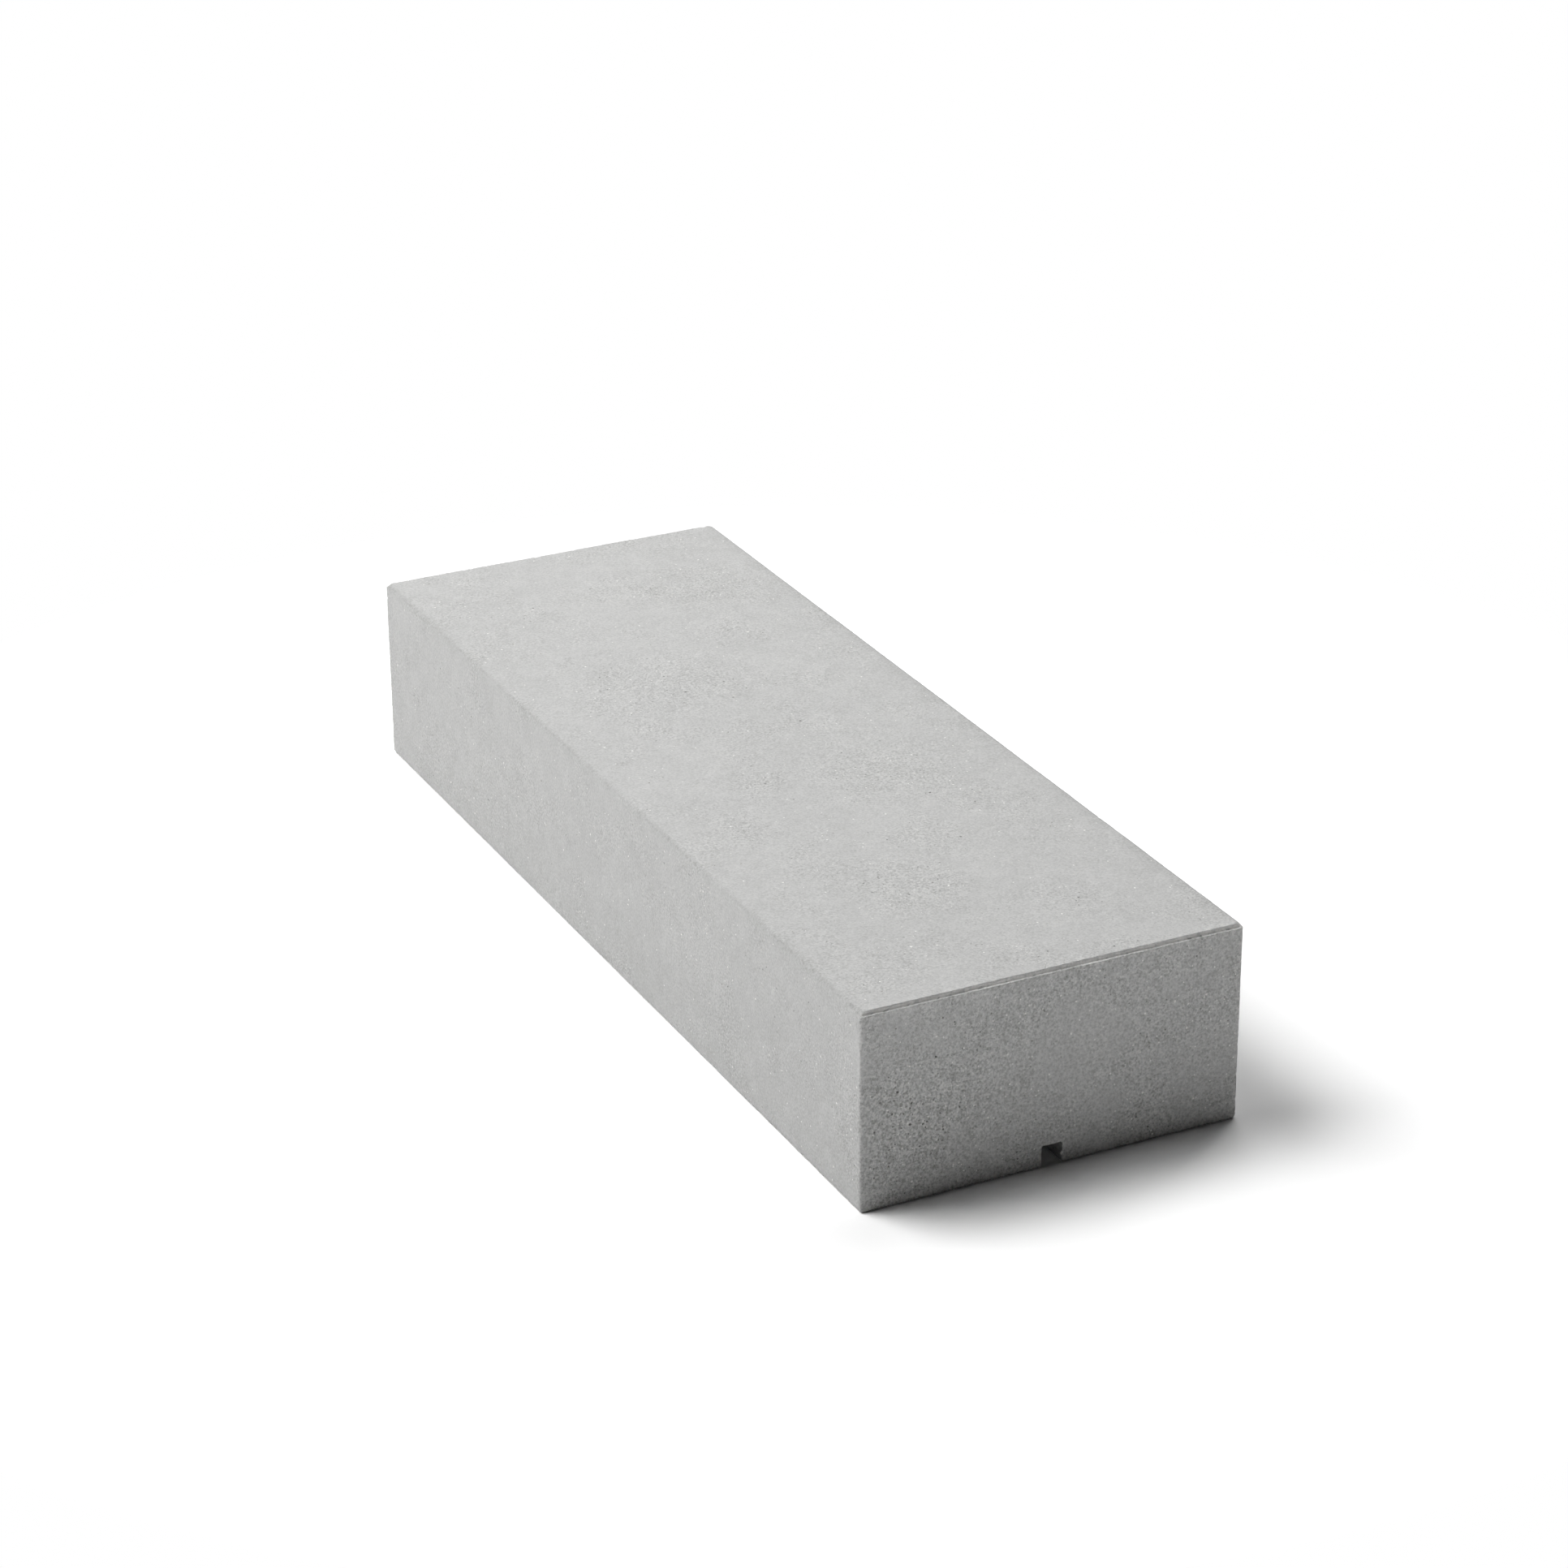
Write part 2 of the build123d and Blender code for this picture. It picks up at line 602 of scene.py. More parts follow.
# the lip under the step of the rim comes out nearly to the CAD's own face, and is ragged
nearEnd = np.clip((np.abs(places[:, 1]) - stone["length"] / 2 + 3.4) / 0.8, 0, 1)
lip = band(drop, *relief["lip"]) * (fromWall < 0.6) * nearEnd
push = stone["faceInset"] + (stone["topInset"] - stone["faceInset"]) * np.clip(outward[:, 2], 0, 1)
push -= lip * np.clip(swells(places, relief["lipSwells"], relief["lipOut"]), 0, relief["lipMost"])

# roughness of the edges, less and less away from them
arris = band(drop, *relief["arris"]) * (fromWall < 2.5)
riser = relief["riserShare"] * band(drop, *relief["riser"]) * (fromWall < 2.2)
bedEdge = np.clip(1 - np.hypot(fromWall, places[:, 2]) / relief["edgeReach"], 0, 1)
bedEdge *= relief["bedShare"]
upright = np.clip(1 - np.hypot(fromSide, fromEnd) / relief["edgeReach"], 0, 1)
push += ridges(places, relief["edges"]) * np.maximum.reduce([arris, riser, bedEdge, upright])

wave = swells(places, relief["waves"])
push += np.clip(wave, *relief["waveLimits"]) * (1 - lip) + sunk

tree = treeOf(places)
# each chip bites into the faces and gets painted shade by its depth
for x, y, z, radius, depth in edgeChips(np.random.default_rng(chips["seed"])):
    for _, i, far in tree.find_range((x, y, z), radius):
        bite = depth * math.sqrt(max(0.0, 1 - (far / radius) ** 2))
        push[i] += bite
        hollowShade[i] = max(hollowShade[i], chips["chipShade"] * bite)
places = places - outward * np.maximum(push, stone["leastInset"])[:, None]

mesh = bpy.data.meshes.new("stone_block")
mesh.from_pydata(places * mm, [], faces)
storeOnPoints(mesh, "hollowShade", hollowShade)
block = bpy.data.objects.new("stone_block", mesh)
bpy.context.scene.collection.objects.link(block)

groove = dict(
    width=11.4,
    depth=11.2,
    root=0.8,
    past=3.0,  # how far its cutter runs past the ends and below the bed
    step=2.6,
    slack=0.05,  # the cutter is this much narrower on each side, as its roughness widens the cut
    rough=((0.10, 2.2, 31), (0.07, 6, 32)),  # swells, as in the faces' relief
    mouthRough=((0.22, 2.6, 33),),
    mouthBreaks=(0.18, 14, 34),
    mouth=(0.2, 0.9),  # where its broken band is above the bed, and how wide
)


def grooveCutter():
    # A channel with walls as rough as the stone's and a slightly broken mouth.
    half = groove["width"] / 2 - groove["slack"]
    depth = groove["depth"]
    root = groove["root"]
    # the section's left half, across and up, from below the bed to the middle of the roof
    profile = [(-half - 0.2, -groove["past"]), (-half - 0.15, 0.3), (-half, 1.0)]
    profile += [(-half, z) for z in np.linspace(2.4, depth - root, 6)]
    profile += [(-half + root * 0.3, depth - root * 0.3), (-half + root, depth)]
    profile += [(x, depth) for x in np.linspace(-half + 2.4, -0.8, 3)]
    profile += [(-x, z) for x, z in reversed(profile)]
    end = stone["length"] / 2 + groove["past"]
    rows = np.linspace(-end, end, int(2 * end / groove["step"]))
    ring = len(profile)
    points = np.array([(x, y, z) for y in rows for x, z in profile])
    wall = np.where(np.abs(points[:, 0]) > half - 1, np.sign(points[:, 0]), 0)
    roof = np.where(points[:, 2] > depth - 1, 1.0, 0.0)
    rough = ridges(points, groove["rough"])
    height, size, seed = groove["mouthBreaks"]
    breaks = height * np.clip(swell(points, size, seed), 0, 2)
    broken = band(points[:, 2], *groove["mouth"]) * (ridges(points, groove["mouthRough"]) + breaks)
    points[:, 0] -= wall * (rough - broken)
    points[:, 2] -= roof * rough
    faces = [(i * ring + j, i * ring + (j + 1) % ring, (i + 1) * ring + (j + 1) % ring, (i + 1) * ring + j)
             for i in range(len(rows) - 1) for j in range(ring)]
    faces += [list(range(ring))[::-1], [(len(rows) - 1) * ring + j for j in range(ring)]]
    made = bpy.data.meshes.new("groove_cutter")
    made.from_pydata(points * mm, [], faces)
    shape = bmesh.new()
    shape.from_mesh(made)
    bmesh.ops.recalc_face_normals(shape, faces=shape.faces)
    shape.to_mesh(made)
    shape.free()
    cutter = bpy.data.objects.new("groove_cutter", made)
    bpy.context.scene.collection.objects.link(cutter)
    return cutter


def appliedMesh(piece):
    graph = bpy.context.evaluated_depsgraph_get()
    return bpy.data.meshes.new_from_object(piece.evaluated_get(graph))


print("stone: cutting the drip groove")
cutter = grooveCutter()
cut = block.modifiers.new("groove", "BOOLEAN")
cut.operation = "DIFFERENCE"
cut.solver = "MANIFOLD"
cut.object = cutter
stoneMesh = appliedMesh(block)
block.modifiers.clear()
block.data = stoneMesh
bpy.data.objects.remove(cutter)
bpy.data.meshes.remove(mesh)
stoneMesh.name = "stone_block"


def placesOf(mesh):
    flat = np.empty(len(mesh.vertices) * 3)
    mesh.vertices.foreach_get("co", flat)
    return flat.reshape(-1, 3) / mm


def edgeDistance(places):
    # How far each point is from the nearest edge of the stone's box, roughly.
    half = np.array([stone["width"], stone["length"], stone["height"]]) / 2
    depth = half - np.abs(places - np.array([0, 0, half[2]]))
    return np.sort(depth, axis=1)[:, 1]


stonePlaces = placesOf(stoneMesh)
sandiness = openness(stonePlaces) + stone["sandierEnds"] * onEnds(stonePlaces)
storeOnPoints(stoneMesh, "sandiness", np.clip(sandiness, 0, 1))

# Painted light and shade in bands along the edges, as a shift of the skin's tone: the step of the
# ends is painted paler against the shade its ledge casts, with painted shade on the lip under that
# ledge; the ends' upright edges get a painted highlight, the rounded long edges painted shade where
# they catch more light than the flat faces, and the long sides painted shade towards the bed.
paintedEdgeShadings = dict(
    stepDown=(0.14, 0.25, 0.65, 1.35, 2.1, 2.25, 2.75),  # millimetres below the top
    # painted light on the step's riser, and painted shade on the lip under its ledge
    step=(0, 0.07, 0.17, 0.33, 0.40, -0.12, 0),  # and the shift there
    mottle=((0.25, 2.4, 27),),
    farStep=0.2,  # the far end stands in full light, and needs less
    # painted shade on the rounded long edges, which catch more light than the flat faces
    rounded=-0.08,
    roundedReach=2.6,
    # a painted highlight along the ends' upright edges
    uprightHighlight=0.07,
    uprightReach=3.2,
    # painted shade on the long sides towards the bed
    sideFallShade=0.035,  # the long sides get a little darker towards the bed
    sideMiddle=0.45,  # share of the height at which they have the skin's own tone
)

sides = stone["width"] / 2 - np.abs(stonePlaces[:, 0])
ends = stone["length"] / 2 - np.abs(stonePlaces[:, 1])
down = stone["height"] - stonePlaces[:, 2]
# painted light on the ends' step, against the shade its ledge casts, and painted shade on the lip under the
# ledge
step = np.interp(down, paintedEdgeShadings["stepDown"], paintedEdgeShadings["step"])
step *= ((ends < 2.3) & (sides > 1)) * swells(stonePlaces, paintedEdgeShadings["mottle"], 1)
step *= np.where(stonePlaces[:, 1] < 0, 1.0, paintedEdgeShadings["farStep"])
# painted shade on the rounded long edges
rounded = np.exp(-(np.hypot(sides, down) / paintedEdgeShadings["roundedReach"]) ** 4) * (ends > 2.5)
# a painted highlight along the ends' upright edges
uprightHighlight = np.clip(1 - sides / paintedEdgeShadings["uprightReach"], 0, 1) * (ends < 0.6)
# painted shade on the long sides, darker towards the bed
lower = (paintedEdgeShadings["sideMiddle"] - stonePlaces[:, 2] / stone["height"]) * (sides < 0.6)
paintedEdgeShading = step + paintedEdgeShadings["rounded"] * rounded + paintedEdgeShadings["uprightHighlight"] * uprightHighlight
paintedEdgeShading = paintedEdgeShading - paintedEdgeShadings["sideFallShade"] * lower
storeOnPoints(stoneMesh, "paintedEdgeShading", paintedEdgeShading)
offEdge = edgeDistance(stonePlaces) > stone["grainRoom"]
storeOnPoints(stoneMesh, "offEdge", offEdge.astype(float))
stoneMesh.shade_smooth()
stoneMesh.set_sharp_from_angle(angle=math.radians(stone["sharpFrom"]))
triangles = sum(len(face.vertices) - 2 for face in stoneMesh.polygons)
print("stone:", len(stonePlaces), "points,", triangles, "triangles")

grains = dict(
    seed=3,
    perSquareMetre=20000.0,
    smallest=1.2,  # millimetres across, before each is sunk
    largest=2.4,
    proudest=0.24,
    leastProud=0.35,  # over the proudest
    tightShare=0.35,  # share of the grains on tight skin, and what a fully sandy place adds
    sandyShare=1.6,
    smallness=1.7,  # over 1, so that most grains are small
    squashed=((0.8, 0.8, 0.55), (1.2, 1.2, 0.8)),  # least and most, over the size
    corners=12,  # of each grain's mesh
    roughness=0.35,
    # where each colour's share of the grains begins: grey flint, then clear to milky quartz
    colours=((0.0, "#85847f"), (0.08, "#bfbeba"), (0.25, "#dad9d4"), (0.50, "#fbfaf7")),
    dust="#b5b5b2",
    dustiest=0.25,
    speckle=0.4,
    ior=1.54,  # of quartz
)


def grainTree():
    # Scatters sand grains over the stone, each pressed in until only its cap stands out.
    tree = bpy.data.node_groups.new("sand_grains", "GeometryNodeTree")
    tree.interface.new_socket("Stone", in_out="INPUT", socket_type="NodeSocketGeometry")
    for name, kind in (("Per Square Metre", "NodeSocketFloat"), ("Smallest", "NodeSocketFloat"),
                       ("Largest", "NodeSocketFloat"), ("Proudest", "NodeSocketFloat"),
                       ("Seed", "NodeSocketInt"), ("Material", "NodeSocketMaterial")):
        tree.interface.new_socket(name, in_out="INPUT", socket_type=kind)
    tree.interface.new_socket("Grains", in_out="OUTPUT", socket_type="NodeSocketGeometry")
    given = addNode(tree, "NodeGroupInput").outputs

    # sandier places have more grains, and the edges none
    sandy = addNode(tree, "GeometryNodeInputNamedAttribute", {"data_type": "FLOAT"}, {"Name": "sandiness"})
    offEdge = addNode(tree, "GeometryNodeInputNamedAttribute", {"data_type": "FLOAT"}, {"Name": "offEdge"})
    share = addNode(tree, "ShaderNodeMath", {"operation": "MULTIPLY_ADD"}, {
        0: sandy, 1: grains["sandyShare"], 2: grains["tightShare"]})
    allowed = addNode(tree, "ShaderNodeMath", {"operation": "GREATER_THAN"}, {0: offEdge, 1: 0.5})
    share = addNode(tree, "ShaderNodeMath", {"operation": "MULTIPLY"}, {0: share, 1: allowed})
    density = addNode(tree, "ShaderNodeMath", {"operation": "MULTIPLY"}, {
        0: share, 1: given["Per Square Metre"]})
    scatter = addNode(tree, "GeometryNodeDistributePointsOnFaces", None, {
        "Mesh": given["Stone"], "Density": density, "Seed": given["Seed"]})

    # most grains are small, and none is quite round
    draw = addNode(tree, "FunctionNodeRandomValue", {"data_type": "FLOAT"}, {"Seed": given["Seed"]})
    small = addNode(tree, "ShaderNodeMath", {"operation": "POWER"}, {0: draw, 1: grains["smallness"]})
    size = addNode(tree, "ShaderNodeMapRange", None, {
        "Value": small, "To Min": given["Smallest"], "To Max": given["Largest"]})
    halfSize = addNode(tree, "ShaderNodeMath", {"operation": "MULTIPLY"}, {0: size, 1: 0.5})
    secondSeed = addNode(tree, "ShaderNodeMath", {"operation": "ADD"}, {0: given["Seed"], 1: 20.0})
    squash = addNode(tree, "FunctionNodeRandomValue", {"data_type": "FLOAT_VECTOR"}, {
        0: grains["squashed"][0], 1: grains["squashed"][1], "Seed": secondSeed})
    shape = addNode(tree, "ShaderNodeVectorMath", {"operation": "SCALE"}, {0: squash, "Scale": halfSize})

    # each is sunk until it stands out by its own share of the most
    thirdSeed = addNode(tree, "ShaderNodeMath", {"operation": "ADD"}, {0: given["Seed"], 1: 40.0})
    outShare = addNode(tree, "FunctionNodeRandomValue", {"data_type": "FLOAT"}, {
        2: grains["leastProud"], 3: 1.0, "Seed": thirdSeed})
    proud = addNode(tree, "ShaderNodeMath", {"operation": "MULTIPLY"}, {0: given["Proudest"], 1: outShare})
    tall = addNode(tree, "ShaderNodeSeparateXYZ", None, {0: shape}).outputs["Z"]
    sink = addNode(tree, "ShaderNodeMath", {"operation": "SUBTRACT"}, {0: proud, 1: tall})
    offset = addNode(tree, "ShaderNodeVectorMath", {"operation": "SCALE"}, {
        0: scatter.outputs["Normal"], "Scale": sink})
    sunken = addNode(tree, "GeometryNodeSetPosition", None, {
        "Geometry": scatter.outputs["Points"], "Offset": offset})

    grain = addNode(tree, "GeometryNodeMeshIcoSphere", None, {"Radius": 1.0, "Subdivisions": 1})
    fourthSeed = addNode(tree, "ShaderNodeMath", {"operation": "ADD"}, {0: given["Seed"], 1: 60.0})
    angle = addNode(tree, "FunctionNodeRandomValue", {"data_type": "FLOAT"}, {
        2: 0.0, 3: 2 * math.pi, "Seed": fourthSeed})
    turn = addNode(tree, "FunctionNodeAxisAngleToRotation", None, {"Axis": (0, 0, 1), "Angle": angle})
    spin = addNode(tree, "FunctionNodeRotateRotation", {"rotation_space": "LOCAL"}, {
        0: scatter.outputs["Rotation"], 1: turn})
    placed = addNode(tree, "GeometryNodeInstanceOnPoints", None, {
        "Points": sunken, "Instance": grain, "Rotation": spin, "Scale": shape})
    fifthSeed = addNode(tree, "ShaderNodeMath", {"operation": "ADD"}, {0: given["Seed"], 1: 80.0})
    tone = addNode(tree, "FunctionNodeRandomValue", {"data_type": "FLOAT"}, {"Seed": fifthSeed})
    named = addNode(tree, "GeometryNodeStoreNamedAttribute", {"data_type": "FLOAT", "domain": "INSTANCE"}, {
        "Geometry": placed, "Name": "tone", "Value": tone})
    real = addNode(tree, "GeometryNodeRealizeInstances", None, {"Geometry": named})
    dressed = addNode(tree, "GeometryNodeSetMaterial", None, {
        "Geometry": real, "Material": given["Material"]})
    addNode(tree, "NodeGroupOutput", None, {"Grains": dressed})
    return tree


# The concrete's skin. Sizes are millimetres, and swings are how far each pattern moves the tone.
skin = dict(
    # tones from a dark pore over shadow and body to a clean grain, and where each stands; the pore and
    # shadow tones are painted shade in the skin's tiny open pores, the clean grain its own pale colour
    tones=((0.0, "#62625f"), (0.28, "#9b9b98"), (0.5, "#cacac9"), (0.85, "#faf9f6")),
    # deep is the colour of painted shade at the bottom of pits and chips
    deep="#686865",
    clouds=70,
    wisps=12,
    grit=1.2,  # real sand here is finer still, but this is about the finest that shows
    lumps=2.6,
    cloudSwing=0.05,
    wispSwing=0.10,
    tightSwing=0.31,
    sandySwing=0.78,
    gritHeight=0.30,
    lumpHeight=0.22,
    tightRelief=0.4,
    sandyRelief=2.4,
    deepShade=0.85,
    roughness=0.92,
    specular=0.25,
)


def concreteMaterial():
    # Dry-pressed grey concrete: a sandy, matt skin of cement, pale grains and pores darkened with
    # painted shade close together where it is lean, and nearly even in tone where the mould pressed it
    # tight. Pits and chips get painted shade, and the edges bands of painted light and shade.
    material = bpy.data.materials.new("dry_pressed_concrete")
    material.use_nodes = True
    tree = material.node_tree
    tree.nodes.clear()
    place = addNode(tree, "ShaderNodeTexCoord").outputs["Object"]
    sandy = addNode(tree, "ShaderNodeAttribute", {"attribute_name": "sandiness"}).outputs["Fac"]
    hollowShade = addNode(tree, "ShaderNodeAttribute", {"attribute_name": "hollowShade"}).outputs["Fac"]
    paintedEdgeShading = addNode(tree, "ShaderNodeAttribute", {"attribute_name": "paintedEdgeShading"}).outputs["Fac"]
    clouds = addNode(tree, "ShaderNodeTexNoise", None, {
        "Vector": place, "Scale": perMetre(skin["clouds"]), "Detail": 3.0})
    wisps = addNode(tree, "ShaderNodeTexNoise", None, {
        "Vector": place, "Scale": perMetre(skin["wisps"]), "Detail": 3.0, "Roughness": 0.6})
    grit = addNode(tree, "ShaderNodeTexNoise", None, {
        "Vector": place, "Scale": perMetre(skin["grit"]), "Detail": 2.5, "Roughness": 0.64})
    lumps = addNode(tree, "ShaderNodeTexNoise", None, {
        "Vector": place, "Scale": perMetre(skin["lumps"]), "Detail": 3.0, "Roughness": 0.6})

    # tone: 0 is a dark pore, painted shade in a tiny open pore, 1 a clean grain, and each noise swings
    # it about the middle
    swing = addNode(tree, "ShaderNodeMath", {"operation": "MULTIPLY_ADD"}, {
        0: sandy, 1: skin["sandySwing"], 2: skin["tightSwing"]})
    offMiddle = addNode(tree, "ShaderNodeMath", {"operation": "SUBTRACT"}, {0: grit, 1: 0.5})
    tone = addNode(tree, "ShaderNodeMath", {"operation": "MULTIPLY_ADD"}, {0: offMiddle, 1: swing, 2: 0.5})
    for pattern, amount in ((clouds, skin["cloudSwing"]), (wisps, skin["wispSwing"])):
        offMiddle = addNode(tree, "ShaderNodeMath", {"operation": "SUBTRACT"}, {0: pattern, 1: 0.5})
        tone = addNode(tree, "ShaderNodeMath", {"operation": "MULTIPLY_ADD"}, {
            0: offMiddle, 1: amount, 2: tone})
    # the bands of painted light and shade along the edges shift the tone
    tone = addNode(tree, "ShaderNodeMath", {"operation": "ADD"}, {0: tone, 1: paintedEdgeShading})
    colours = addNode(tree, "ShaderNodeValToRGB", None, {"Fac": tone})
    setStops(colours.color_ramp, skin["tones"])
    # painted shade in pits and chips
    shade = addNode(tree, "ShaderNodeMath", {"operation": "MULTIPLY"}, {0: hollowShade, 1: skin["deepShade"]})
    colour = addNode(tree, "ShaderNodeMix", {"data_type": "RGBA"}, {
        0: shade, 6: colours, 7: linearColour(skin["deep"])})

    # relief, in millimetres of height
    gritty = addNode(tree, "ShaderNodeMath", {"operation": "MULTIPLY"}, {0: grit, 1: skin["gritHeight"]})
    lumpy = addNode(tree, "ShaderNodeMath", {"operation": "MULTIPLY_ADD"}, {
        0: lumps, 1: skin["lumpHeight"], 2: gritty})
    amount = addNode(tree, "ShaderNodeMath", {"operation": "MULTIPLY_ADD"}, {
        0: sandy, 1: skin["sandyRelief"] - skin["tightRelief"], 2: skin["tightRelief"]})
    height = addNode(tree, "ShaderNodeMath", {"operation": "MULTIPLY"}, {0: lumpy, 1: amount})
    bump = addNode(tree, "ShaderNodeBump", None, {"Strength": 1.0, "Distance": mm, "Height": height})
    shader = addNode(tree, "ShaderNodeBsdfPrincipled", None, {
        "Base Color": colour,
        "Roughness": skin["roughness"],
        "Specular IOR Level": skin["specular"],
        "Normal": bump,
    })
    addNode(tree, "ShaderNodeOutputMaterial", None, {"Surface": shader})
    return material


def grainMaterial():
    # Sand grains: mostly pale quartz with a faint glassy shine, which dot the dull skin with light.
    material = bpy.data.materials.new("quartz_sand")
    material.use_nodes = True
    tree = material.node_tree
    tree.nodes.clear()
    place = addNode(tree, "ShaderNodeTexCoord").outputs["Object"]
    tone = addNode(tree, "ShaderNodeAttribute", {"attribute_name": "tone"}).outputs["Fac"]
    colours = addNode(tree, "ShaderNodeValToRGB", None, {"Fac": tone})
    colours.color_ramp.interpolation = "CONSTANT"
    setStops(colours.color_ramp, grains["colours"])
    speckle = addNode(tree, "ShaderNodeTexNoise", None, {
        "Vector": place, "Scale": perMetre(grains["speckle"]), "Detail": 1.0})
    dusty = addNode(tree, "ShaderNodeMapRange", None, {
        "Value": speckle, "From Min": 0.5, "From Max": 0.8, "To Min": 0.0, "To Max": grains["dustiest"]})
    colour = addNode(tree, "ShaderNodeMix", {"data_type": "RGBA"}, {
        0: dusty, 6: colours, 7: linearColour(grains["dust"])})
    shader = addNode(tree, "ShaderNodeBsdfPrincipled", None, {
        "Base Color": colour,
        "Roughness": grains["roughness"],
        "IOR": grains["ior"],
    })
    addNode(tree, "ShaderNodeOutputMaterial", None, {"Surface": shader})
    return material


print("sand: scattering grains")
stoneMesh.materials.clear()  # the Boolean leaves an empty slot
stoneMesh.materials.append(concreteMaterial())
sandSource = bpy.data.objects.new("sand_grains", stoneMesh)
bpy.context.scene.collection.objects.link(sandSource)
scatterTree = grainTree()
scatter = sandSource.modifiers.new("scatter", "NODES")
scatter.node_group = scatterTree
quartzSand = grainMaterial()
values = {
    "Per Square Metre": grains["perSquareMetre"],
    "Smallest": grains["smallest"] * mm,
    "Largest": grains["largest"] * mm,
    "Proudest": grains["proudest"] * mm,
    "Seed": grains["seed"],
    "Material": quartzSand,
}
for socket in scatterTree.interface.items_tree:
    if socket.in_out == "INPUT" and socket.name in values:
        scatter[socket.identifier] = values[socket.name]
sandMesh = appliedMesh(sandSource)
sandMesh.name = "sand_grains"
# the mould pressed the grains no further out than the CAD's own faces
highest = np.array([stone["width"] / 2, stone["length"] / 2, stone["height"]]) - stone["leastInset"]
lowest = np.array([-stone["width"] / 2, -stone["length"] / 2, 0]) + stone["leastInset"]
sandMesh.vertices.foreach_set("co", (np.clip(placesOf(sandMesh), lowest, highest) * mm).ravel())
sandMesh.update()
sandMesh.materials.clear()  # drops the stone's own slot
sandMesh.materials.append(quartzSand)
bpy.data.objects.remove(sandSource)
sand = bpy.data.objects.new("sand_grains", sandMesh)
bpy.context.scene.collection.objects.link(sand)
grainCount = len(sandMesh.vertices) // grains["corners"]
print("sand:", grainCount, "grains,", len(sandMesh.polygons), "triangles")

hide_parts("coping_stone")
for piece in (block, sand):
    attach(piece, "root")

studio = dict(
    floorSize=24.0,
    floorBounce=0.925,
    floorSeen=1.34,
    shadowReach=(0.45, 0.6),  # over these metres from the middle the floor turns plain white
    # direction round and above the stone in degrees, then distance, width, height in metres, watts
    softboxes=(
        ("back_left_softbox", 238.9, 59.4, 3.0, 1.72, 1.65, 76.2),
        ("back_right_softbox", 132.2, 67.0, 2.99, 1.17, 1.25, 19.7),
        ("right_fill", 120.0, 36.0, 3.0, 0.8, 0.8, 6.3),
        ("left_fill", 240.0, 5.0, 3.0, 0.8, 0.8, 7.7),
        ("front_fill", 0.0, 14.0, 3.0, 0.8, 0.8, 0.7),
    ),
    # a lamp over the floor in front, shining down: place, width and depth in metres, watts, spread
    floorLamp=((0, -0.7, 0.9), 2.0, 0.5, 2.4, 12),
)


def wayTo(azimuth, elevation):
    # Towards a place that is this far round and above the stone. Azimuth 0 is in front, at -Y.
    turn = math.radians(azimuth)
    rise = math.radians(elevation)
    return Vector((math.sin(turn) * math.cos(rise), -math.cos(turn) * math.cos(rise), math.sin(rise)))


def addLamp(name, place, way, width, height, watts, spread=180):
    lamp = bpy.data.lights.new(name, "AREA")
    lamp.shape = "RECTANGLE"
    lamp.size = width
    lamp.size_y = height
    lamp.energy = watts
    lamp.spread = math.radians(spread)
    holder = bpy.data.objects.new(name, lamp)
    holder.location = place
    holder.rotation_mode = "QUATERNION"
    holder.rotation_quaternion = way.to_track_quat("Z", "Y")
    holder.visible_camera = False
    bpy.context.scene.collection.objects.link(holder)


print("studio: lamps, floor and camera")
for name, azimuth, elevation, distance, width, height, watts in studio["softboxes"]:
    way = wayTo(azimuth, elevation)
    addLamp(name, way * distance, way, width, height, watts)
place, width, depth, watts, spread = studio["floorLamp"]
addLamp("front_floor_lamp", Vector(place), Vector((0, 0, 1)), width, depth, watts, spread)


def seenDirectly(tree):
    # 1 for rays from the camera, and for those that a reflection or clear glass sends on.
    rays = addNode(tree, "ShaderNodeLightPath").outputs
    mirrored = addNode(tree, "ShaderNodeMath", {"operation": "MAXIMUM"}, {
        0: rays["Is Glossy Ray"], 1: rays["Is Transmission Ray"]})
    return addNode(tree, "ShaderNodeMath", {"operation": "MAXIMUM"}, {
        0: rays["Is Camera Ray"], 1: mirrored})


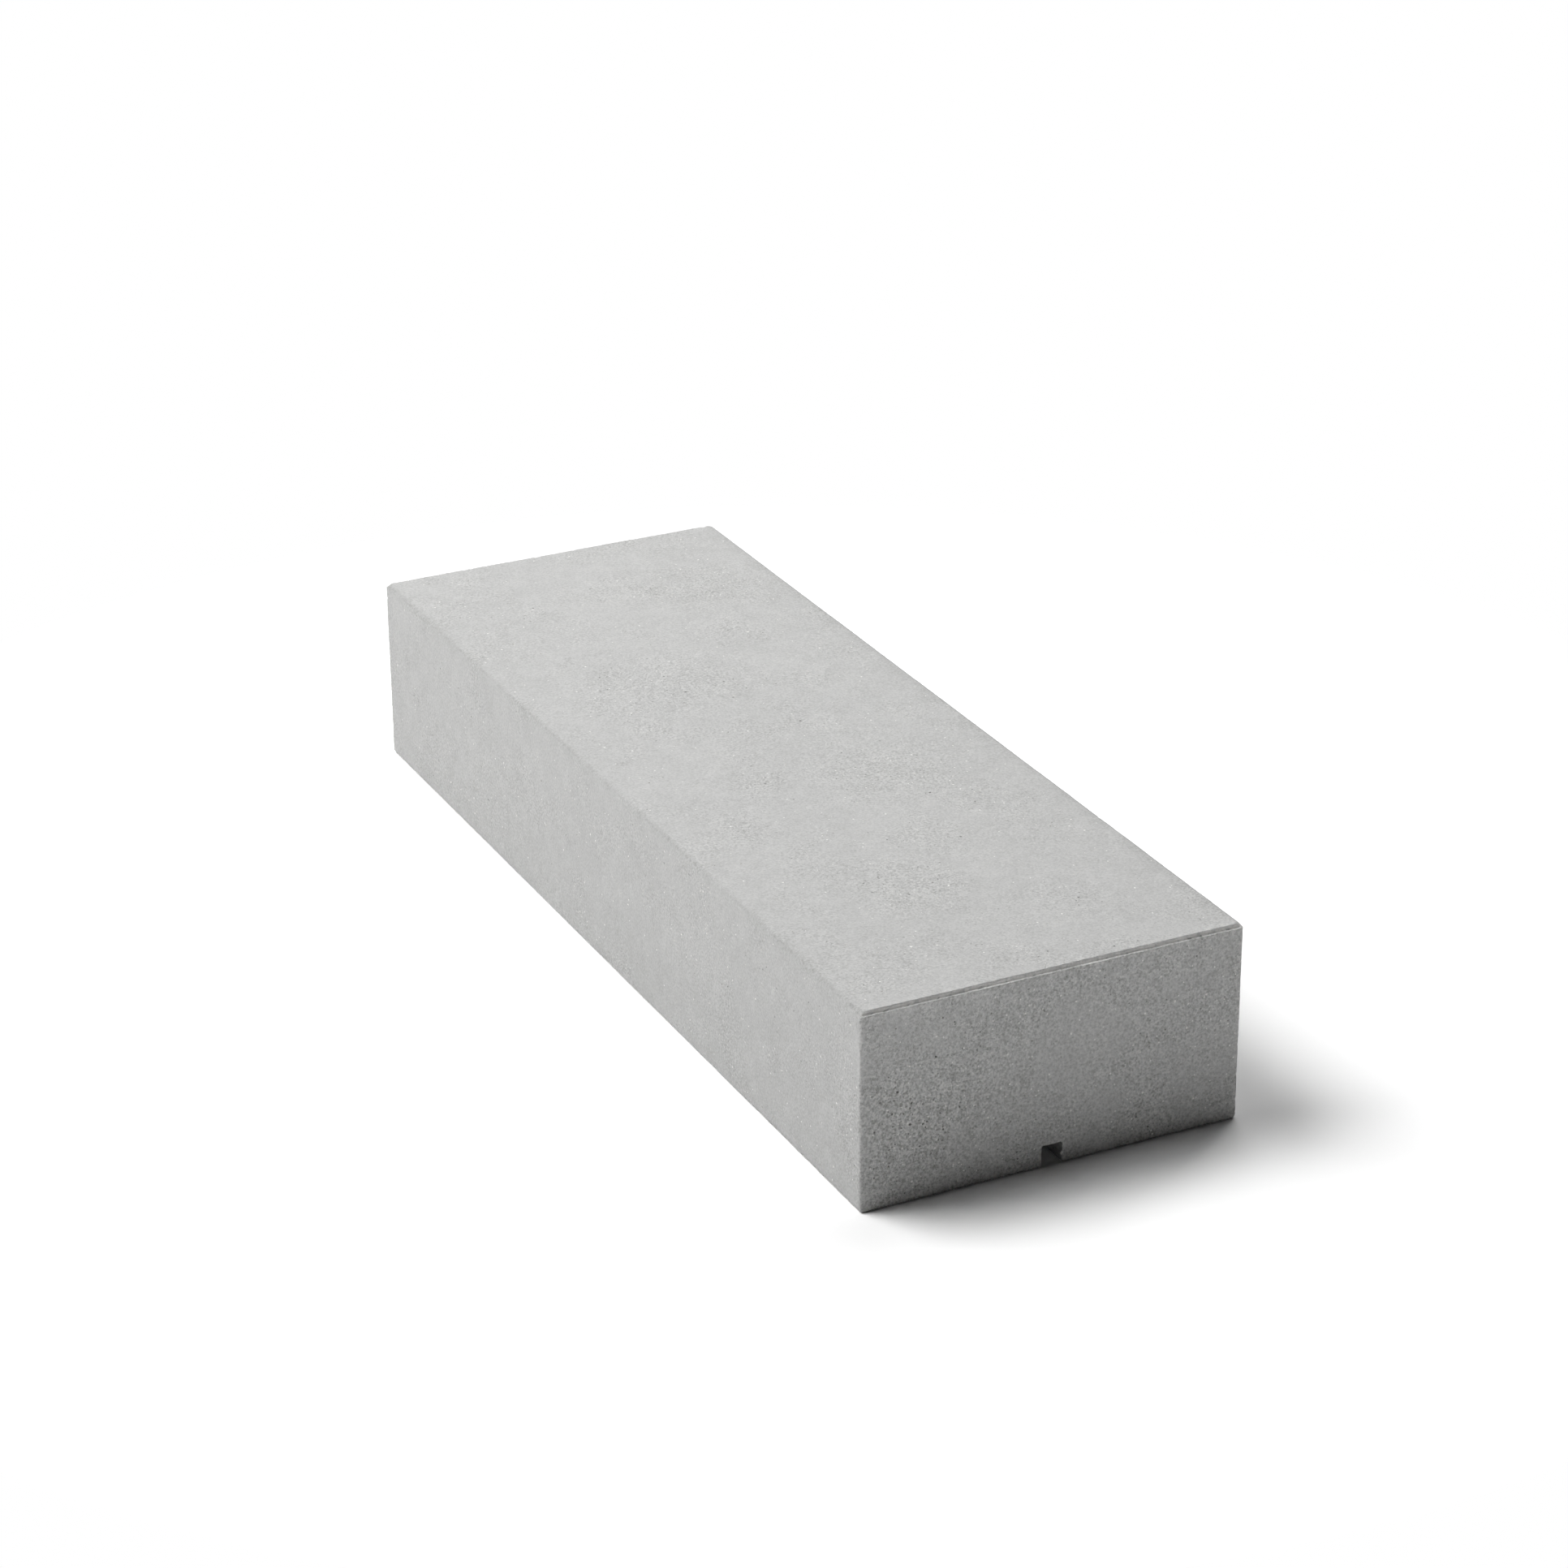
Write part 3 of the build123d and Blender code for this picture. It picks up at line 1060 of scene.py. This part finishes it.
def whiteFloor():
    # White paper. The camera sees it a little overexposed, and plain white away from the stone.
    material = bpy.data.materials.new("white_paper")
    material.use_nodes = True
    tree = material.node_tree
    tree.nodes.clear()
    seen = seenDirectly(tree)
    place = addNode(tree, "ShaderNodeTexCoord").outputs["Object"]
    far = addNode(tree, "ShaderNodeVectorMath", {"operation": "LENGTH"}, {0: place}).outputs["Value"]
    near, plain = studio["shadowReach"]
    beyond = addNode(tree, "ShaderNodeMapRange", None, {
        "Value": far, "From Min": near, "From Max": plain})
    bounce = studio["floorBounce"]
    bright = studio["floorSeen"]
    colour = addNode(tree, "ShaderNodeMix", {"data_type": "RGBA"}, {
        0: seen, 6: (bounce, bounce, bounce, 1), 7: (bright, bright, bright, 1)})
    paper = addNode(tree, "ShaderNodeBsdfDiffuse", None, {"Color": colour})
    white = addNode(tree, "ShaderNodeEmission", None, {"Color": (1, 1, 1, 1), "Strength": 1.0})
    share = addNode(tree, "ShaderNodeMath", {"operation": "MULTIPLY"}, {0: beyond, 1: seen})
    shown = addNode(tree, "ShaderNodeMixShader", None, {0: share, 1: paper, 2: white})
    addNode(tree, "ShaderNodeOutputMaterial", None, {"Surface": shown})
    return material


floorMesh = bpy.data.meshes.new("floor")
half = studio["floorSize"] / 2
corners = [(-half, -half, 0), (half, -half, 0), (half, half, 0), (-half, half, 0)]
floorMesh.from_pydata(corners, [], [(0, 1, 2, 3)])
floorMesh.materials.append(whiteFloor())
floor = bpy.data.objects.new("floor", floorMesh)
bpy.context.scene.collection.objects.link(floor)

world = bpy.data.worlds.new("studio")
world.use_nodes = True
bpy.context.scene.world = world
tree = world.node_tree
tree.nodes.clear()
sky = addNode(tree, "ShaderNodeBackground", None, {"Color": (1, 1, 1, 1), "Strength": seenDirectly(tree)})
addNode(tree, "ShaderNodeOutputWorld", None, {"Surface": sky})

# The camera stands where the block's straight edges in the photograph put it.
shot = dict(
    azimuth=-26.1275,
    elevation=24.6092,
    roll=-0.3284,
    aim=(0.0276945, 0.0480777, 0.05125),
    distance=2.24206,
    lens=98.10,
    sensor=36.0,
    clip=(0.05, 60),
)
lens = bpy.data.cameras.new("camera")
lens.lens = shot["lens"]
lens.sensor_width = shot["sensor"]
lens.clip_start, lens.clip_end = shot["clip"]
camera = bpy.data.objects.new("camera", lens)
back = wayTo(shot["azimuth"], shot["elevation"])
camera.location = Vector(shot["aim"]) + back * shot["distance"]
camera.rotation_mode = "QUATERNION"
level = (-back).to_track_quat("-Z", "Y")
camera.rotation_quaternion = level @ Quaternion((0, 0, 1), math.radians(shot["roll"]))
bpy.context.scene.collection.objects.link(camera)
bpy.context.scene.camera = camera
bpy.context.scene.view_settings.view_transform = "Standard"
